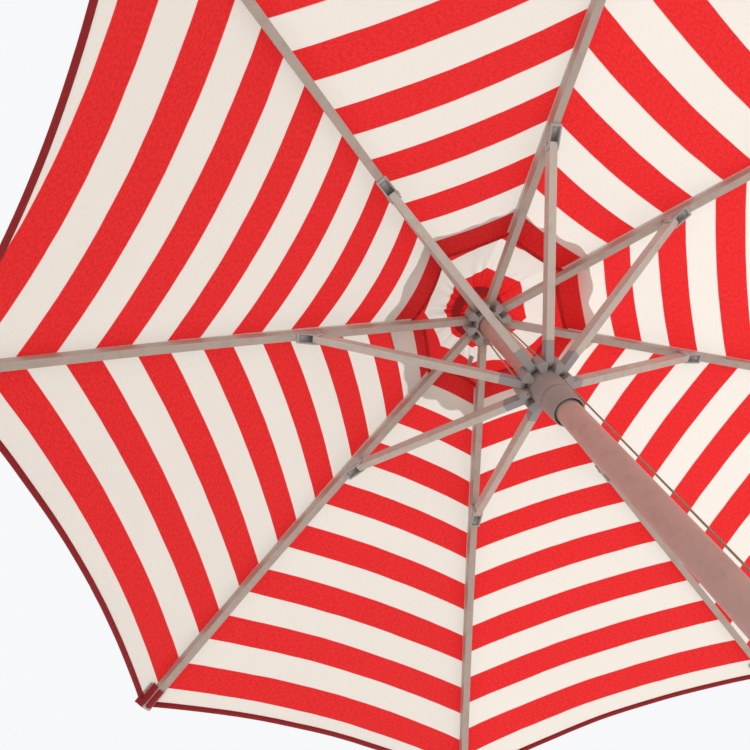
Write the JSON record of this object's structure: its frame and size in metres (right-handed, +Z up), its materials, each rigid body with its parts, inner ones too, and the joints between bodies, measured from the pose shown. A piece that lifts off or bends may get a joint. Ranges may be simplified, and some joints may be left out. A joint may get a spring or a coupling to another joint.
{
  "type": "beach umbrella",
  "caption": "Beach umbrella with a striped eight-panel canopy on folding ribs, a vent cap, and a straight pole with a sliding runner and lift cord.",
  "frame": {"origin": "on the pole's axis at its lower end", "axes": "+Z up along the pole; +X along the first rib, umbrella open"},
  "size_m": [2.1334, 2.1334, 2.304],
  "materials": {
    "pole_tube": "satin pinkish-brown coat on an aluminium tube",
    "spigot": "plain drawn tube",
    "rib_aluminium": "champagne anodised, fine drawn grain",
    "hub_plastic": "moulded grey nylon, soft sheen",
    "bracket_plastic": "moulded grey nylon",
    "end_plastic": "moulded darker grey nylon",
    "moulding": "moulded grey nylon",
    "pin": "plated steel",
    "canopy_fabric": "woven cloth, red and cream stripes",
    "cord": "braided tan cord"
  },
  "bodies": {
    "pole": {"pole_lower": "pole_tube", "pole_upper": "pole_tube", "pole_spigot": "spigot", "foot_plug": "moulding", "joint_collar": "moulding", "crown_hub": "hub_plastic", "crown_pins": "pin", "canopy": "canopy_fabric", "vent_cap": "canopy_fabric", "pulley_axle": "pin", "finial": "moulding", "lift_cord": "cord", "cord_cleat": "moulding", "cleat_screws": "pin"},
    "runner": {"runner": "hub_plastic"},
    "pulley": {"pulley_wheel": "hub_plastic"},
    "knob": {"clamp_knob": "moulding"},
    "rib_1": {"rib_1": "rib_aluminium", "tip_1": "moulding", "bracket_1": "bracket_plastic"},
    "strut_1": {"strut_1": "rib_aluminium", "strut_end_1": "end_plastic"},
    "rib_2": {"rib_2": "rib_aluminium", "tip_2": "moulding", "bracket_2": "bracket_plastic"},
    "strut_2": {"strut_2": "rib_aluminium", "strut_end_2": "end_plastic"},
    "rib_3": {"rib_3": "rib_aluminium", "tip_3": "moulding", "bracket_3": "bracket_plastic"},
    "strut_3": {"strut_3": "rib_aluminium", "strut_end_3": "end_plastic"},
    "rib_4": {"rib_4": "rib_aluminium", "tip_4": "moulding", "bracket_4": "bracket_plastic"},
    "strut_4": {"strut_4": "rib_aluminium", "strut_end_4": "end_plastic"},
    "rib_5": {"rib_5": "rib_aluminium", "tip_5": "moulding", "bracket_5": "bracket_plastic"},
    "strut_5": {"strut_5": "rib_aluminium", "strut_end_5": "end_plastic"},
    "rib_6": {"rib_6": "rib_aluminium", "tip_6": "moulding", "bracket_6": "bracket_plastic"},
    "strut_6": {"strut_6": "rib_aluminium", "strut_end_6": "end_plastic"},
    "rib_7": {"rib_7": "rib_aluminium", "tip_7": "moulding", "bracket_7": "bracket_plastic"},
    "strut_7": {"strut_7": "rib_aluminium", "strut_end_7": "end_plastic"},
    "rib_8": {"rib_8": "rib_aluminium", "tip_8": "moulding", "bracket_8": "bracket_plastic"},
    "strut_8": {"strut_8": "rib_aluminium", "strut_end_8": "end_plastic"}
  },
  "joints": [
    {"name": "runner_slide", "type": "slide", "parent": "pole", "child": "runner", "axis": [0, 0, -1], "range_m": [0, 0.4803], "deforming": ["canopy", "vent_cap", "lift_cord"]},
    {"name": "rib_1_fold", "type": "hinge", "parent": "pole", "child": "rib_1", "pos_m": [0.046, 0, 2.2], "axis": [0, 1, 0], "range_deg": [0, 64.61]},
    {"name": "strut_1_fold", "type": "hinge", "parent": "rib_1", "child": "strut_1", "pos_m": [0.42717, 0, 2.02431], "axis": [0, -1, 0], "range_deg": [0, 127.56]},
    {"name": "rib_2_fold", "type": "hinge", "parent": "pole", "child": "rib_2", "pos_m": [0.03253, 0.03253, 2.2], "axis": [-0.7071, 0.7071, 0], "range_deg": [0, 64.61]},
    {"name": "strut_2_fold", "type": "hinge", "parent": "rib_2", "child": "strut_2", "pos_m": [0.30206, 0.30206, 2.02431], "axis": [0.7071, -0.7071, 0], "range_deg": [0, 127.56]},
    {"name": "rib_3_fold", "type": "hinge", "parent": "pole", "child": "rib_3", "pos_m": [0, 0.046, 2.2], "axis": [-1, 0, 0], "range_deg": [0, 64.61]},
    {"name": "strut_3_fold", "type": "hinge", "parent": "rib_3", "child": "strut_3", "pos_m": [0, 0.42717, 2.02431], "axis": [1, 0, 0], "range_deg": [0, 127.56]},
    {"name": "rib_4_fold", "type": "hinge", "parent": "pole", "child": "rib_4", "pos_m": [-0.03253, 0.03253, 2.2], "axis": [-0.7071, -0.7071, 0], "range_deg": [0, 64.61]},
    {"name": "strut_4_fold", "type": "hinge", "parent": "rib_4", "child": "strut_4", "pos_m": [-0.30206, 0.30206, 2.02431], "axis": [0.7071, 0.7071, 0], "range_deg": [0, 127.56]},
    {"name": "rib_5_fold", "type": "hinge", "parent": "pole", "child": "rib_5", "pos_m": [-0.046, 0, 2.2], "axis": [0, -1, 0], "range_deg": [0, 64.61]},
    {"name": "strut_5_fold", "type": "hinge", "parent": "rib_5", "child": "strut_5", "pos_m": [-0.42717, 0, 2.02431], "axis": [0, 1, 0], "range_deg": [0, 127.56]},
    {"name": "rib_6_fold", "type": "hinge", "parent": "pole", "child": "rib_6", "pos_m": [-0.03253, -0.03253, 2.2], "axis": [0.7071, -0.7071, 0], "range_deg": [0, 64.61]},
    {"name": "strut_6_fold", "type": "hinge", "parent": "rib_6", "child": "strut_6", "pos_m": [-0.30206, -0.30206, 2.02431], "axis": [-0.7071, 0.7071, 0], "range_deg": [0, 127.56]},
    {"name": "rib_7_fold", "type": "hinge", "parent": "pole", "child": "rib_7", "pos_m": [0, -0.046, 2.2], "axis": [1, 0, 0], "range_deg": [0, 64.61]},
    {"name": "strut_7_fold", "type": "hinge", "parent": "rib_7", "child": "strut_7", "pos_m": [0, -0.42717, 2.02431], "axis": [-1, 0, 0], "range_deg": [0, 127.56]},
    {"name": "rib_8_fold", "type": "hinge", "parent": "pole", "child": "rib_8", "pos_m": [0.03253, -0.03253, 2.2], "axis": [0.7071, 0.7071, 0], "range_deg": [0, 64.61]},
    {"name": "strut_8_fold", "type": "hinge", "parent": "rib_8", "child": "strut_8", "pos_m": [0.30206, -0.30206, 2.02431], "axis": [-0.7071, -0.7071, 0], "range_deg": [0, 127.56]},
    {"name": "pulley_turn", "type": "hinge", "parent": "pole", "child": "pulley", "pos_m": [0, 0, 2.25], "axis": [-0.3827, 0.9239, 0], "continuous": true},
    {"name": "knob_turn", "type": "hinge", "parent": "pole", "child": "knob", "pos_m": [-0.03696, -0.01531, 1.12], "axis": [-0.9239, -0.3827, 0], "continuous": true}
  ],
  "couplings": [
    {"joint": "rib_1_fold", "follows": "runner_slide", "rad_per_m": 2.3475},
    {"joint": "strut_1_fold", "follows": "runner_slide", "rad_per_m": 4.6348},
    {"joint": "rib_2_fold", "follows": "runner_slide", "rad_per_m": 2.3475},
    {"joint": "strut_2_fold", "follows": "runner_slide", "rad_per_m": 4.6348},
    {"joint": "rib_3_fold", "follows": "runner_slide", "rad_per_m": 2.3475},
    {"joint": "strut_3_fold", "follows": "runner_slide", "rad_per_m": 4.6348},
    {"joint": "rib_4_fold", "follows": "runner_slide", "rad_per_m": 2.3475},
    {"joint": "strut_4_fold", "follows": "runner_slide", "rad_per_m": 4.6348},
    {"joint": "rib_5_fold", "follows": "runner_slide", "rad_per_m": 2.3475},
    {"joint": "strut_5_fold", "follows": "runner_slide", "rad_per_m": 4.6348},
    {"joint": "rib_6_fold", "follows": "runner_slide", "rad_per_m": 2.3475},
    {"joint": "strut_6_fold", "follows": "runner_slide", "rad_per_m": 4.6348},
    {"joint": "rib_7_fold", "follows": "runner_slide", "rad_per_m": 2.3475},
    {"joint": "strut_7_fold", "follows": "runner_slide", "rad_per_m": 4.6348},
    {"joint": "rib_8_fold", "follows": "runner_slide", "rad_per_m": 2.3475},
    {"joint": "strut_8_fold", "follows": "runner_slide", "rad_per_m": 4.6348}
  ]
}
